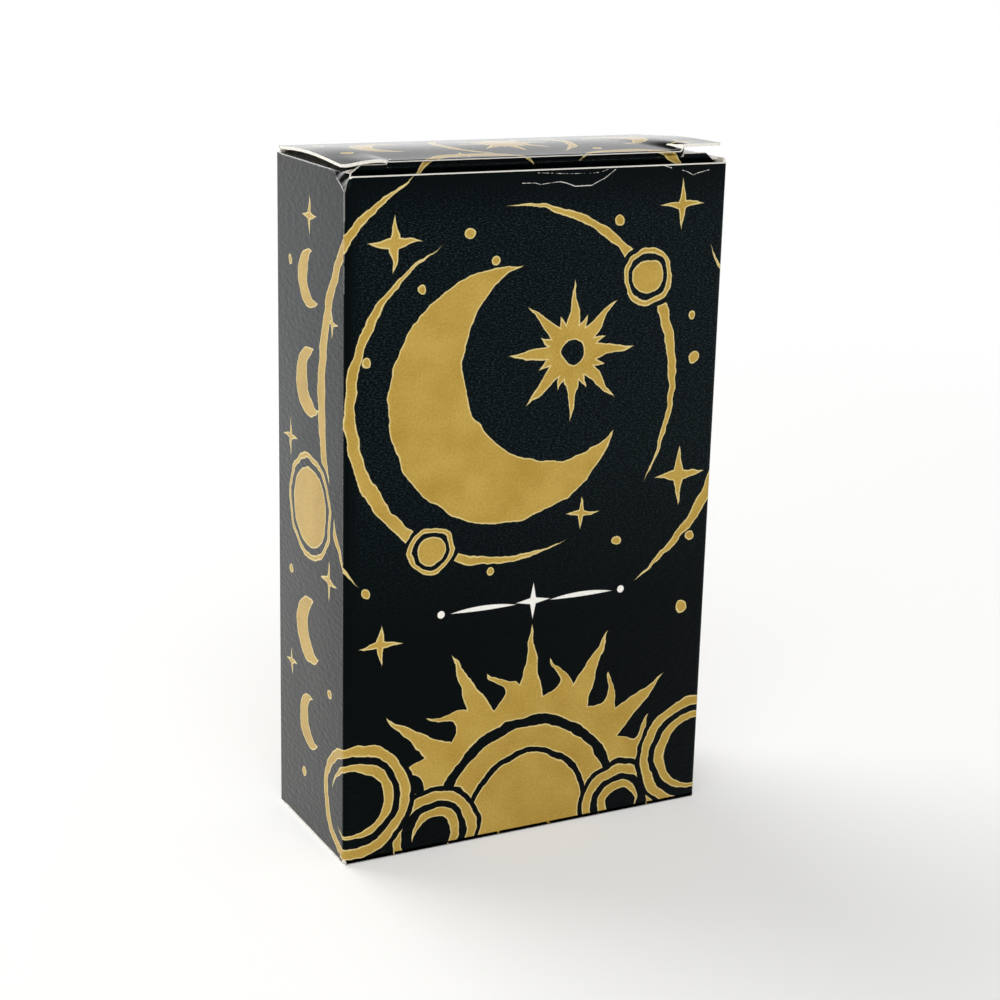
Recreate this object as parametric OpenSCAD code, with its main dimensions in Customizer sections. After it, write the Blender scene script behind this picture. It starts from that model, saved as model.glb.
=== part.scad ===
// Boxed tarot deck: a reverse-tuck carton of folded board with the whole deck of cards inside.
// Millimetres, +Z up, front panel towards -Y, origin at the middle of the carton's foot.
// The lid is hinged on the back panel and tucks behind the front panel. The bottom is the same
// closure turned end for end: hinged on the front panel, it tucks behind the back panel.

/* [Cards] */
// Width of a card
card_w = 70; // [60:0.5:80]
// Height of a card
card_h = 120; // [105:0.5:135]
// Thickness of one card
card_t = 0.31; // [0.27:0.01:0.4]
// Radius of a card's corners
card_corner_r = 4; // [2:0.5:8]

/* [Carton] */
// Thickness of the carton board
board_t = 0.5; // [0.4:0.05:0.6]
// Room beside the cards, on each side
side_play = 1.5; // [1.2:0.1:3]
// Room before and behind the cards together, which the tuck flaps and the leaning deck share
depth_play = 4.8; // [4.4:0.1:6]
// Room between the cards and the top dust flaps
head_play = 2.3; // [1.5:0.1:4]
// Height of the lid above the creases of the top dust flaps
lid_rise = 1.1; // [1:0.1:2]
// Depth of the front panel's cut edge below the creases of the top dust flaps
front_drop = 0.7; // [0.3:0.1:1.5]
// Amount by which the lid and the bottom are cut narrower than the carton, on each side
lid_inset = 0.2; // [0.1:0.05:0.5]

/* [Tuck flaps] */
// Length of a tuck flap from its crease
tuck_l = 12; // [10:0.5:14]
// Radius of the corners at a tuck flap's free edge
tuck_corner_r = 5; // [2:0.5:8]
// Gap between a tuck crease and the panel that the flap goes behind
tuck_gap = 0.9; // [0.7:0.05:1.1]
// Length of the slit at each end of a tuck crease
slit_l = 8; // [5:0.5:12]
// Depth by which a tuck flap's shoulders slope down at its sides
shoulder_drop = 1.8; // [1:0.1:3]
// Width of the slope at a tuck flap's shoulders
shoulder_run = 2.2; // [1.5:0.1:3.5]
// Radius of the lid's corners beside the slits
lid_corner_r = 1.2; // [0.5:0.1:3]

/* [Dust flaps] */
// Length of a dust flap from its crease
dust_l = 21; // [16:0.5:24]
// Slant of a dust flap's edge on the side where the lid is hinged, in degrees
dust_taper = 25.5; // [25.5:0.5:30]
// Slant of a dust flap's edge on the side of the tuck flap, in degrees
dust_lock_taper = 8; // [4:0.5:12]
// Distance of a dust flap's crease from the panel where the lid is hinged
dust_inset = 1.5; // [1.2:0.1:3]
// Radius of the corners at a dust flap's free edge
dust_corner_r = 3; // [1:0.5:4]

/* [Glue seam] */
// Width of the glue flap inside the left side panel
glue_w = 13; // [8:0.5:16]
// Distance of the glue flap from the carton's creases at its two ends
glue_inset = 4; // [3:0.5:8]
// Slant of the glue flap's ends, in degrees
glue_taper = 15; // [5:1:20]
// Distance of the left side panel's cut edge from the outer face of the back panel
seam_gap = 0.3; // [0.1:0.05:0.4]

/* [Hidden] */
$fn = 48;
// Room between flat faces that lie on one another
fit_gap = 0.1;
// Room inside a crease between the two panels that it joins
crease_gap = 0.05;
// Least room between the deck, the flaps and the panels beside them
wall_gap = 0.3;
// Air between two cards that lie on one another
card_gap = 0.01;
// Length by which a cutting shape runs past what it cuts
overrun = 1;

// What a full deck holds: the trumps, and four suits of ten pip cards and four court cards
trump_count = 22;
pip_count = 10;
suit_names = ["wands", "cups", "swords", "pentacles"];
court_names = ["page", "knight", "queen", "king"];
suit_size = pip_count + len(court_names);
card_count = trump_count + suit_size * len(suit_names);

// The deck leans back: its foot stands near the front panel and its head near the back panel,
// which leaves a wedge for each tuck flap
deck_lean = asin((depth_play - 2 * wall_gap) / card_h);
card_pitch = (card_t + card_gap) / cos(deck_lean);

// The carton follows the deck
box_w = card_w + 2 * side_play + 2 * board_t;
box_d = card_count * card_pitch + depth_play + 2 * board_t;
foot_rise = board_t + fit_gap;
deck_floor = foot_rise + board_t + fit_gap;
deck_top = deck_floor + card_h * cos(deck_lean) + card_t * sin(deck_lean);
side_top = deck_top + head_play + board_t;
front_top = side_top - front_drop;
box_h = side_top + lid_rise;

// Tuck flap, measured from the outer face of the panel where the lid is hinged
tuck_v = box_d - board_t - tuck_gap;
tuck_half = box_w / 2 - 2 * board_t - wall_gap;
slit_x = box_w / 2 - lid_inset - slit_l;
tuck_wedge = depth_play - wall_gap - tuck_l * tan(deck_lean);
tuck_lean = asin((tuck_wedge - tuck_gap - board_t - wall_gap) / tuck_l);
tuck_root = board_t * (1 + sin(tuck_lean)) / cos(tuck_lean) + crease_gap;

// Dust flap, whose tucked side clears the leaning tuck flap. The top ones spring up towards the lid.
dust_root = board_t + crease_gap;
dust_spring = asin((lid_rise - board_t - wall_gap) / dust_l);
dust_end_v = tuck_v - (lid_rise + board_t) * sin(tuck_lean) - board_t / cos(tuck_lean) - wall_gap;

// Colours of the black printed side, of bare board and of the cards
print_colour = "#15171b";
board_colour = "#f1eee6";
card_colour = "#eadfc8";

function two_digits(i) = str(i < 10 ? "0" : "", i);
function trump_name(i) = str("major_arcana_", two_digits(i));
function pips_name(s) = str(suit_names[s], "_ace_to_ten");
function court_name(s, c) = str(suit_names[s], "_", court_names[c]);
function suit_slot(s, place) = trump_count + s * suit_size + place;

CARTON_NODES = [
    "front_panel", "back_panel", "left_side_panel", "right_side_panel", "glue_flap",
    "lid_panel", "lid_tuck_flap", "top_left_dust_flap", "top_right_dust_flap",
    "bottom_panel", "bottom_tuck_flap", "bottom_left_dust_flap", "bottom_right_dust_flap"
];
TRUMP_NODES = [for (i = [0 : trump_count - 1]) trump_name(i)];
SUIT_NODES = [
    for (s = [0 : len(suit_names) - 1])
        each concat([pips_name(s)], [for (c = [0 : len(court_names) - 1]) court_name(s, c)])
];

// Rounded outlines

function unit(v) = v / norm(v);

// Distance from a corner to where its arc starts, and the arc's middle
function arc_reach(a, p, b, r) = r * norm(unit(a - p) + unit(b - p)) / norm(unit(a - p) - unit(b - p));
function arc_middle(a, p, b, r) =
    p + unit(unit(a - p) + unit(b - p)) * norm([r, arc_reach(a, p, b, r)]);

// A convex outline whose corners are arcs of the given radii, or sharp where the radius is zero
module rounded_outline(points, radii) {
    n = len(points);
    polygon([
        for (i = [0 : n - 1])
            let (a = points[(i + n - 1) % n], p = points[i], b = points[(i + 1) % n])
                let (reach = radii[i] > 0 ? arc_reach(a, p, b, radii[i]) : 0)
                    each radii[i] > 0 ? [p + unit(a - p) * reach, p + unit(b - p) * reach] : [p]
    ]);
    for (i = [0 : n - 1])
        if (radii[i] > 0)
            translate(arc_middle(points[(i + n - 1) % n], points[i], points[(i + 1) % n], radii[i]))
                circle(radii[i]);
}

// Board

// Takes the outer edge off a board along a crease: the board fills +X and +Y from the edge, which runs up Z
module crease_round(length) {
    translate([0, 0, -overrun])
        linear_extrude(length + 2 * overrun)
            difference() {
                translate([-overrun, -overrun])
                    square(board_t + overrun);
                translate([board_t, board_t])
                    circle(board_t);
            }
}

// The four walls are laid out with their outer face on Y = 0 and the board behind it
module wall_board(x_from, x_to, z_from, z_to) {
    translate([x_from, 0, z_from])
        cube([x_to - x_from, board_t, z_to - z_from]);
}

module crease_left(x) {
    translate([x, 0, 0])
        crease_round(box_h);
}

module crease_right(x) {
    translate([x, 0, 0])
        mirror([1, 0, 0])
            crease_round(box_h);
}

module crease_foot(z) {
    translate([-box_w / 2, 0, z])
        rotate([90, 0, 90])
            crease_round(box_w);
}

module crease_head(z) {
    translate([-box_w / 2, 0, z])
        mirror([0, 0, 1])
            rotate([90, 0, 90])
                crease_round(box_w);
}

// Walls of the carton

module front_panel() {
    color(print_colour)
        translate([0, -box_d / 2, 0])
            difference() {
                wall_board(-box_w / 2, box_w / 2, 0, front_top);
                crease_left(-box_w / 2);
                crease_right(box_w / 2);
                crease_foot(0);
            }
}

// Its left crease, seen from the front, lies inside the left side panel, where the glue flap starts
module back_panel() {
    color(print_colour)
        translate([0, box_d / 2, 0])
            rotate([0, 0, 180])
                difference() {
                    wall_board(-box_w / 2, box_w / 2 - board_t, 0, box_h);
                    crease_left(-box_w / 2);
                    crease_right(box_w / 2 - board_t);
                    crease_head(box_h);
                }
}

// The left panel ends in a cut edge at the glue seam, over the back panel's crease
module left_side_panel() {
    color(print_colour)
        translate([-box_w / 2, 0, 0])
            rotate([0, 0, -90])
                difference() {
                    wall_board(-box_d / 2 + seam_gap, box_d / 2 - board_t, foot_rise, side_top);
                    crease_foot(foot_rise);
                    crease_head(side_top);
                }
}

module right_side_panel() {
    color(print_colour)
        translate([box_w / 2, 0, 0])
            rotate([0, 0, 90])
                difference() {
                    wall_board(-box_d / 2 + board_t, box_d / 2 - board_t, foot_rise, side_top);
                    crease_foot(foot_rise);
                    crease_head(side_top);
                }
}

// Glued to the inside of the left side panel, with slanted ends that clear the dust flaps
module glue_flap() {
    foot = foot_rise + glue_inset;
    head = side_top - glue_inset;
    slant = glue_w * tan(glue_taper);
    color(board_colour)
        translate([-box_w / 2 + board_t, box_d / 2 - board_t, 0])
            rotate([90, 0, -90])
                translate([0, 0, -board_t])
                    linear_extrude(board_t)
                        polygon([[0, foot], [glue_w, foot + slant], [glue_w, head - slant], [0, head]]);
}

// Closures, drawn at the top and turned end for end for the bottom

module at_bottom() {
    translate([0, 0, box_h])
        rotate([180, 0, 0])
            children();
}

// A closing panel runs from the wall that carries it to the tuck crease, which the two slits shorten
module closing_panel() {
    half = box_w / 2 - lid_inset;
    root = board_t + crease_gap;
    color(print_colour)
        translate([0, box_d / 2, box_h - board_t])
            difference() {
                linear_extrude(board_t)
                    mirror([0, 1])
                        rounded_outline(
                            [[-half, root], [half, root], [half, tuck_v], [-half, tuck_v]],
                            [0, 0, lid_corner_r, lid_corner_r]
                        );
                translate([-slit_x, -tuck_v, board_t])
                    rotate([0, 90, 0])
                        translate([0, 0, overrun])
                            crease_round(2 * slit_x - 2 * overrun);
            }
}

// The tuck flap hangs from the crease and leans in, away from the panel that it goes behind.
// It runs on level past the slits, and its shoulders slope down at the sides.
module tuck_flap() {
    shoulder = tuck_root + shoulder_drop;
    level_half = tuck_half - shoulder_run;
    color(print_colour)
        translate([0, box_d / 2 - tuck_v, box_h])
            rotate([90 + tuck_lean, 0, 0])
                translate([0, 0, -board_t])
                    linear_extrude(board_t)
                        mirror([0, 1])
                            rounded_outline(
                                [
                                    [-level_half, tuck_root], [level_half, tuck_root],
                                    [tuck_half, shoulder], [tuck_half, tuck_l],
                                    [-tuck_half, tuck_l], [-tuck_half, shoulder]
                                ],
                                [0, 0, 0, tuck_corner_r, tuck_corner_r, 0]
                            );
}

// A left dust flap: drop is the depth of its crease below the closing panel's outer face
module dust_flap(drop, spring) {
    end_slant = (dust_l - dust_root) * tan(dust_lock_taper);
    root_slant = (dust_l - dust_root) * tan(dust_taper);
    color(print_colour)
        translate([-box_w / 2, box_d / 2, box_h - drop])
            rotate([0, -spring, 0])
                translate([0, 0, -board_t])
                    linear_extrude(board_t)
                        mirror([0, 1])
                            rounded_outline(
                                [
                                    [dust_root, dust_inset], [dust_l, dust_inset + root_slant],
                                    [dust_l, dust_end_v - end_slant], [dust_root, dust_end_v]
                                ],
                                [0, dust_corner_r, dust_corner_r, 0]
                            );
}

module lid_panel() {
    closing_panel();
}

module lid_tuck_flap() {
    tuck_flap();
}

module top_left_dust_flap() {
    dust_flap(lid_rise, dust_spring);
}

module top_right_dust_flap() {
    mirror([1, 0, 0])
        dust_flap(lid_rise, dust_spring);
}

module bottom_panel() {
    at_bottom()
        closing_panel();
}

module bottom_tuck_flap() {
    at_bottom()
        tuck_flap();
}

module bottom_left_dust_flap() {
    at_bottom()
        dust_flap(foot_rise, 0);
}

module bottom_right_dust_flap() {
    mirror([1, 0, 0])
        bottom_left_dust_flap();
}

// Deck

// One card in its place, counted from the front of the deck
module card(slot) {
    half = card_w / 2;
    color(card_colour)
        translate([
            0,
            -box_d / 2 + board_t + wall_gap + slot * card_pitch,
            deck_floor + card_t * sin(deck_lean)
        ])
            rotate([90 - deck_lean, 0, 0])
                translate([0, 0, -card_t])
                    linear_extrude(card_t)
                        rounded_outline(
                            [[-half, 0], [half, 0], [half, card_h], [-half, card_h]],
                            [for (i = [0 : 3]) card_corner_r]
                        );
}

module pip_cards(s) {
    for (p = [0 : pip_count - 1])
        card(suit_slot(s, p));
}

front_panel();
back_panel();
left_side_panel();
right_side_panel();
glue_flap();
lid_panel();
lid_tuck_flap();
top_left_dust_flap();
top_right_dust_flap();
bottom_panel();
bottom_tuck_flap();
bottom_left_dust_flap();
bottom_right_dust_flap();
for (i = [0 : trump_count - 1])
    card(i);
for (s = [0 : len(suit_names) - 1]) {
    pip_cards(s);
    for (c = [0 : len(court_names) - 1])
        card(suit_slot(s, pip_count + c));
}
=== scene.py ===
"""Looks of a boxed tarot deck: a black and gold tuck carton of laminated board around its 78 cards."""

import math
from contextlib import contextmanager

import bmesh
import bpy
import numpy as np
from mathutils import Matrix, Vector


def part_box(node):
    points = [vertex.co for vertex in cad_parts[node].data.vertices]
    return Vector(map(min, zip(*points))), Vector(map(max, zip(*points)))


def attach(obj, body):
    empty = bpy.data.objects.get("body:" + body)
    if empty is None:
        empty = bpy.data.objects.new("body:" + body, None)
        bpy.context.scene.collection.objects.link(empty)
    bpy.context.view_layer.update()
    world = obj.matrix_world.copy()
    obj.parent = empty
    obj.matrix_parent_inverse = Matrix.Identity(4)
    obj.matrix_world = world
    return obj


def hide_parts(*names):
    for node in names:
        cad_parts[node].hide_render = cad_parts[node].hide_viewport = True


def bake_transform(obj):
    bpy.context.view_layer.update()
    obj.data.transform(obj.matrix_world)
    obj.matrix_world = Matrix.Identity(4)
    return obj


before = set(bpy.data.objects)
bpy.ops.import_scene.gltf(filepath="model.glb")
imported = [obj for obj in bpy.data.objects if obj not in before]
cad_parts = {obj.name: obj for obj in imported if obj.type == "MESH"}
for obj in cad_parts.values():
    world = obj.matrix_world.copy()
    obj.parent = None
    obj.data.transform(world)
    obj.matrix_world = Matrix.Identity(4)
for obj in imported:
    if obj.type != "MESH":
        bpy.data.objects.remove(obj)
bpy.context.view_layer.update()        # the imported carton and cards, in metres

# Sizes that the frame gives, in metres
MM = 0.001
front_low, front_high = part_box("front_panel")
left_low, left_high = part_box("left_side_panel")
back_low, back_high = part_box("back_panel")
lid_low, lid_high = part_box("lid_panel")
tuck_low, tuck_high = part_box("lid_tuck_flap")
dust_low, dust_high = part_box("top_left_dust_flap")
HALF_W = front_high.x
HALF_D = back_high.y
HEIGHT = lid_high.z
BOARD = front_high.y - front_low.y
SIDE_TOP = left_high.z
FRONT_TOP = front_high.z
FOOT = left_low.z
TUCK_Y = lid_low.y
TUCK_V = HALF_D - TUCK_Y


def slope_of(node, rise, run):
    """The angle of a flap's largest face, from the two parts of its normal."""
    face = max(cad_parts[node].data.polygons, key=lambda polygon: polygon.area)
    return math.atan2(abs(face.normal[rise]), abs(face.normal[run]))


TUCK_LEAN = slope_of("lid_tuck_flap", 2, 1)
DUST_SPRING = slope_of("top_left_dust_flap", 0, 2)
TUCK_L = (HEIGHT - tuck_low.z) / math.cos(TUCK_LEAN)
DUST_L = (dust_high.x + HALF_W) / math.cos(DUST_SPRING)

# Sizes of the cut and creased blank, as in the solids
SLIT_X = lid_high.x - 8 * MM
TUCK_ROOT = 0.66 * MM
SHOULDER_DROP = 1.8 * MM
SHOULDER_RUN = 2.2 * MM
TUCK_CORNER = 5 * MM
LID_CORNER = 1.2 * MM
DUST_CORNER = 3 * MM
DUST_TAPER = math.radians(25.5)
DUST_LOCK_TAPER = math.radians(8)
# A crease strip takes up this much of the board on each side of its line
CREASE = 1.2 * MM
FOLD_R = 0.9 * BOARD
DUST_FOLD_R = 0.5 * BOARD
CLOSER_FOLD_R = 1.8 * BOARD
CELL = 1.0 * MM
TINY = 0.01 * MM
SMOOTH_ANGLE = math.radians(35)

# How far the board has bent in use
LID_ARCH = 0.68 * MM
LID_LEFT_RISE = 0.3 * MM
LID_RIGHT_CURL = 1.1 * MM
# The lid's tuck crease isn't pressed home, and stands this much above its place
LID_GAPE = 0.42 * MM
FRONT_BOW = 0.35 * MM
SIDE_BOW = 0.12 * MM
BACK_BOW = 0.3 * MM
WALL_WAVES = 0.09 * MM
LID_WAVES = 0.05 * MM
# Room between the left dust flap and the lid
DUST_ROOM = 0.12 * MM

# Slots of a printed board
PRINT, INSIDE, EDGE = 0, 1, 2

MATH = "ShaderNodeMath"
VECTOR = "ShaderNodeVectorMath"
NOISE = "ShaderNodeTexNoise"
RANGE = "ShaderNodeMapRange"        # takes a value, the range that it is in and the range that it gets
MIX = "ShaderNodeMix"
GROUP = "ShaderNodeGroup"
SPLIT = "ShaderNodeSeparateXYZ"
JOIN = "ShaderNodeCombineXYZ"
BUMP = "ShaderNodeBump"


def linear(colour):
    """An sRGB hex colour as linear red, green, blue and alpha."""
    shares = [int(colour[place:place + 2], 16) / 255 for place in (1, 3, 5)]
    return [*(s / 12.92 if s <= 0.04045 else ((s + 0.055) / 1.055) ** 2.4 for s in shares), 1.0]


def add(tree, kind, inputs=(), **settings):
    """Adds a node with its settings.

    Its inputs, in order or by name, are numbers, hex colours, or the nodes and sockets that feed it.
    """
    node = tree.nodes.new(kind)
    for name, value in settings.items():
        setattr(node, name, value)
    for name, value in inputs.items() if isinstance(inputs, dict) else enumerate(inputs):
        if isinstance(value, bpy.types.Node):
            value = next(socket for socket in value.outputs if socket.enabled)
        if isinstance(value, bpy.types.NodeSocket):
            tree.links.new(value, node.inputs[name])
        else:
            node.inputs[name].default_value = linear(value) if isinstance(value, str) else value
    return node


# Print motifs: each group gives how far a place lies outside one shape, in millimetres

def motif_group(name, vectors=(), numbers=()):
    """Starts a group that takes a place on the sheet, and gives the sockets that feed it."""
    tree = bpy.data.node_groups.new(name, "ShaderNodeTree")
    for socket in ("Place", *vectors):
        tree.interface.new_socket(socket, in_out="INPUT", socket_type="NodeSocketVector")
    for socket in numbers:
        tree.interface.new_socket(socket, in_out="INPUT", socket_type="NodeSocketFloat")
    tree.interface.new_socket("Distance", in_out="OUTPUT", socket_type="NodeSocketFloat")
    return tree, tree.nodes.new("NodeGroupInput").outputs


def close_group(tree, distance):
    """Ends a motif group with its distance."""
    add(tree, "NodeGroupOutput", {"Distance": distance})
    return tree


def disc_group():
    tree, given = motif_group("disc", ["Centre"], ["Radius"])
    reach = add(tree, VECTOR, [given["Place"], given["Centre"]], operation="DISTANCE")
    return close_group(tree, add(tree, MATH, [reach, given["Radius"]], operation="SUBTRACT"))


def crescent_group():
    tree, given = motif_group("crescent", ["Centre", "Bite"], ["Radius", "Bite radius"])
    reach = add(tree, VECTOR, [given["Place"], given["Centre"]], operation="DISTANCE")
    bite = add(tree, VECTOR, [given["Place"], given["Bite"]], operation="DISTANCE")
    past_rim = add(tree, MATH, [reach, given["Radius"]], operation="SUBTRACT")
    in_bite = add(tree, MATH, [given["Bite radius"], bite], operation="SUBTRACT")
    return close_group(tree, add(tree, MATH, [past_rim, in_bite], operation="MAXIMUM"))


def polar(tree, given):
    """The distance and the bearing of a place from the centre of its motif."""
    arm = add(tree, VECTOR, [given["Place"], given["Centre"]], operation="SUBTRACT")
    parts = add(tree, SPLIT, [arm])
    bearing = add(tree, MATH, [parts.outputs["Y"], parts.outputs["X"]], operation="ARCTAN2")
    return add(tree, VECTOR, [arm], operation="LENGTH"), bearing


def stroke_group():
    """A brush stroke along an arc, widest at its middle and pointed at its ends."""
    tree, given = motif_group("stroke", ["Centre"], ["Radius", "Half width", "Middle", "Half turn"])
    reach, bearing = polar(tree, given)
    away = add(tree, MATH, [bearing, given["Middle"]], operation="SUBTRACT")
    near = add(tree, MATH, [away, math.pi, -math.pi], operation="WRAP")
    share = add(tree, MATH, [near, given["Half turn"]], operation="DIVIDE")
    squared = add(tree, MATH, [share, share], operation="MULTIPLY")
    fullness = add(tree, MATH, [1.0, squared], operation="SUBTRACT")
    wide = add(tree, MATH, [fullness, given["Half width"]], operation="MULTIPLY")
    off_line = add(tree, MATH, [reach, given["Radius"]], operation="SUBTRACT")
    aside = add(tree, MATH, [off_line], operation="ABSOLUTE")
    return close_group(tree, add(tree, MATH, [aside, wide], operation="SUBTRACT"))


def star_group():
    """A star or a ring of rays: the distance to the flank of the nearest ray, which may sway."""
    numbers = ["Sector", "Turn", "Flank", "Offset", "Sway", "Sway rate"]
    tree, given = motif_group("star", ["Centre"], numbers)
    reach, bearing = polar(tree, given)
    phase = add(tree, MATH, [reach, given["Sway rate"]], operation="MULTIPLY")
    wave = add(tree, MATH, [phase], operation="SINE")
    swayed = add(tree, MATH, [wave, given["Sway"], bearing], operation="MULTIPLY_ADD")
    turned = add(tree, MATH, [swayed, given["Turn"]], operation="SUBTRACT")
    folded = add(tree, MATH, [turned, given["Sector"]], operation="PINGPONG")
    to_flank = add(tree, MATH, [folded, given["Flank"]], operation="SUBTRACT")
    across = add(tree, MATH, [to_flank], operation="COSINE")
    depth = add(tree, MATH, [reach, across], operation="MULTIPLY")
    return close_group(tree, add(tree, MATH, [depth, given["Offset"]], operation="SUBTRACT"))


def line_group():
    tree, given = motif_group("line", ["Start", "End"])
    arm = add(tree, VECTOR, [given["Place"], given["Start"]], operation="SUBTRACT")
    run = add(tree, VECTOR, [given["End"], given["Start"]], operation="SUBTRACT")
    along = add(tree, VECTOR, [arm, run], operation="DOT_PRODUCT")
    whole = add(tree, VECTOR, [run, run], operation="DOT_PRODUCT")
    share = add(tree, MATH, [along, whole], operation="DIVIDE", use_clamp=True)
    nearest = add(tree, VECTOR, {0: run, "Scale": share}, operation="SCALE")
    return close_group(tree, add(tree, VECTOR, [arm, nearest], operation="DISTANCE"))


MOTIFS = {
    "disc": disc_group(),
    "crescent": crescent_group(),
    "stroke": stroke_group(),
    "star": star_group(),
    "line": line_group(),
}


def disc(x, y, radius):
    return "disc", {"Centre": (x, y, 0), "Radius": radius}


def crescent(x, y, radius, bite_x, bite_y, bite_radius):
    return "crescent", {
        "Centre": (x, y, 0), "Radius": radius, "Bite": (bite_x, bite_y, 0), "Bite radius": bite_radius,
    }


def stroke(x, y, radius, width, middle, half_turn):
    """A stroke along an arc, with its middle and its half length as degrees."""
    return "stroke", {
        "Centre": (x, y, 0), "Radius": radius, "Half width": width / 2,
        "Middle": math.radians(middle), "Half turn": math.radians(half_turn),
    }


def star(x, y, points, tip, valley, turn=90, sway=0.0, wave=10.0):
    """A star with its tips and valleys at two radii. The sway is in degrees, over a wave in millimetres."""
    sector = math.pi / points
    run = valley * math.cos(sector) - tip
    rise = valley * math.sin(sector)
    flank = math.atan2(-run, rise)
    return "star", {
        "Centre": (x, y, 0), "Sector": sector, "Turn": math.radians(turn), "Flank": flank,
        "Offset": tip * math.cos(flank), "Sway": math.radians(sway), "Sway rate": math.tau / wave,
    }


def print_group(name, layers):
    """Lays motifs over one another on one panel: inked ones add gold, cleared ones take it away."""
    tree, given = motif_group(name)
    gold = None
    for action, (motif, sizes) in layers:
        shape = add(tree, GROUP, {"Place": given["Place"], **sizes}, node_tree=MOTIFS[motif])
        if gold is None:
            gold = shape
        elif action == "ink":
            gold = add(tree, MATH, [gold, shape], operation="MINIMUM")
        else:
            hole = add(tree, MATH, [shape, -1.0], operation="MULTIPLY")
            gold = add(tree, MATH, [gold, hole], operation="MAXIMUM")
    return close_group(tree, gold)


def ink(*motifs):
    return [("ink", motif) for motif in motifs]


def clear(*motifs):
    return [("clear", motif) for motif in motifs]


def ringed(x, y, radius, gap, line):
    """A disc inside a ring, with a clear gap between them."""
    return [
        *clear(disc(x, y, radius + 2 * gap + line)),
        *ink(disc(x, y, radius + gap + line)),
        *clear(disc(x, y, radius + gap)),
        *ink(disc(x, y, radius)),
    ]


def curl_cloud(x, y, radius, turn):
    """One curl of a cloud: a rim with a smaller curl inside it."""
    return [
        *clear(disc(x, y, radius + 1.0)),
        *ink(disc(x, y, radius)),
        *clear(disc(x, y, radius - 1.9)),
        *ink(stroke(x, y, radius - 4.2, 2.0, turn, 150)),
    ]


def sparkles(*places):
    return ink(*(star(x, y, 4, tip, tip * 0.24) for x, y, tip in places))


def dots(*places):
    return ink(*(disc(x, y, radius) for x, y, radius in places))


# The print in millimetres on the unfolded sheet: the front is centred on 0, and heights start at the foot
WIDTH_MM = 2 * HALF_W / MM
HALF_MM = WIDTH_MM / 2
DEPTH_MM = 2 * HALF_D / MM
FRONT_MM = FRONT_TOP / MM
TUCK_MM = TUCK_V / MM
SIDE_U = (WIDTH_MM + DEPTH_MM) / 2
BACK_U = WIDTH_MM + DEPTH_MM
LID_MID = TUCK_MM / 2

ORBITS = [
    stroke(-2, 84, 45, 3.0, 172, 52),
    stroke(-2, 84, 44, 2.6, -12, 46),
]
LEFT_CLOUD = curl_cloud(-35, 12, 11, 20)
RIGHT_CLOUD = curl_cloud(36, 10, 11.5, 160)
RISING_SUN = [
    *ink(star(0, 4, 14, 37, 17), star(0, 4, 14, 30, 19, turn=90 + 180 / 14, sway=5, wave=11)),
    *clear(disc(0, 4, 19)),
    *ink(disc(0, 4, 17)),
    *clear(disc(0, 4, 12.6)),
    *ink(disc(0, 4, 11.4)),
]
FRONT_PRINT = [
    *RISING_SUN,
    *curl_cloud(-19, 3, 8.5, 40),
    *LEFT_CLOUD,
    *curl_cloud(20, 2, 8, 130),
    *RIGHT_CLOUD,
    *ink(*ORBITS),
    *ink(crescent(-6, 84, 23, 3.5, 90, 18.5)),
    *ink(stroke(-6, 84, 30, 2.4, 205, 88), stroke(-6, 84, 33.5, 2.0, 30, 62)),
    *ink(star(6.5, 91, 8, 12.5, 4.2), star(6.5, 91, 8, 7.2, 3.4, turn=112.5)),
    *clear(disc(6.5, 91, 2.2)),
    *ringed(-20.5, 57.5, 2.6, 0.9, 0.9),
    *ringed(21.5, 103.5, 3.2, 1.0, 0.9),
    *sparkles((30, 66, 5.5), (-28, 112, 5), (28, 116, 4.5), (9.5, 61, 3.4), (-30, 41, 4)),
    *dots((15, 114, 0.9), (-14, 113, 1.0), (32, 88, 1.1), (17, 55, 0.9), (-9, 108, 0.8), (32, 40, 1.1)),
    *dots((-23, 104, 0.8), (33, 54, 1.0), (-9, 52, 0.8), (-33, 51, 0.9), (31, 96, 0.7), (-33, 92, 0.8)),
]
DIVIDER_PRINT = [
    *ink(star(0, 45.5, 4, 3.4, 0.8)),
    *ink(stroke(-10, -34.5, 80, 0.9, 90, 4.6), stroke(10, -34.5, 80, 0.9, 90, 4.6)),
    *ink(disc(-18.4, 45.3, 0.7), disc(18.4, 45.3, 0.7)),
]


def side_print(side, cloud):
    """The moon's phases in a column, between the orbits and the cloud that run on from the front."""
    u = side * SIDE_U
    phases = [(104, 5.2, 3.4), (86, 6.2, 4.6), (40, 6.2, 4.6), (22, 5.2, 3.4)]
    return [
        *ink(*ORBITS),
        *cloud,
        *(
            layer for v, radius, bite in phases
            for layer in ink(crescent(u, v, radius, u - side * bite, v + 1, radius - 0.6))
        ),
        *ringed(u, 63, 7.5, 1.3, 1.0),
        *sparkles((u - 9, 74, 3.6), (u + 9, 52, 3.6), (u + 10, 98, 2.6), (u - 9, 31, 2.6), (u, 115, 3.4)),
        *dots((u - 9, 49, 0.9), (u - 9, 106, 0.8), (u + 9, 31, 0.8), (u - 3, 11, 1.0)),
    ]


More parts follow.
